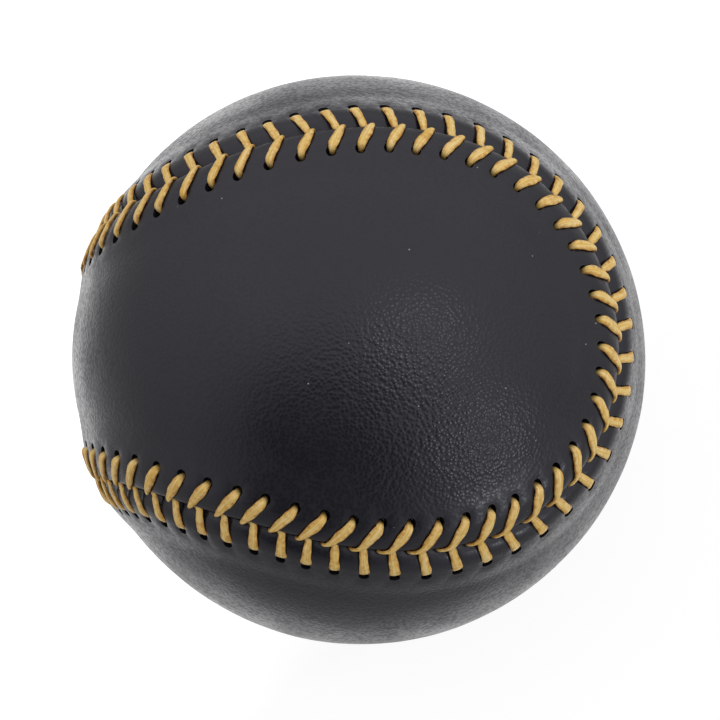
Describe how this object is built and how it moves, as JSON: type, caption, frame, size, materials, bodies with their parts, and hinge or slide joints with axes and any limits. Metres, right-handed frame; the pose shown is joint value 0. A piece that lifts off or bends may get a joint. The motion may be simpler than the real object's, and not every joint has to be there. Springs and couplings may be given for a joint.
{
  "type": "baseball",
  "caption": "Charcoal leather baseball: a figure-eight cover sewn over wound yarn and a rubber-cased cork core with straw-coloured waxed thread.",
  "frame": {"origin": "centre of the ball", "axes": "+X runs through the middles of the two narrow waists of the cover, +Z and +Y through the middles of the broad lobes; the ball rests on its -Z lobe"},
  "size_m": [0.074, 0.0734, 0.0734],
  "materials": {
    "cork": "moulded cork and rubber composition",
    "black_rubber": "matt moulded",
    "red_rubber": "matt moulded",
    "grey_wool": "wound wool yarn",
    "white_wool": "wound wool yarn",
    "cotton_yarn": "wound cotton and polyester yarn",
    "charcoal_leather": "dyed full-grain leather with a soft sheen",
    "waxed_thread": "waxed"
  },
  "bodies": {
    "root": {"cork_core": "cork", "black_rubber_half_upper": "black_rubber", "black_rubber_half_lower": "black_rubber", "red_rubber_gasket": "red_rubber", "red_rubber_half_upper": "red_rubber", "red_rubber_half_lower": "red_rubber", "first_winding_grey_wool": "grey_wool", "second_winding_white_wool": "white_wool", "third_winding_grey_wool": "grey_wool", "finishing_winding_cotton": "cotton_yarn", "leather_panel_a": "charcoal_leather", "leather_panel_b": "charcoal_leather", "stitching_thread_a": "waxed_thread", "stitching_thread_b": "waxed_thread"}
  },
  "joints": []
}
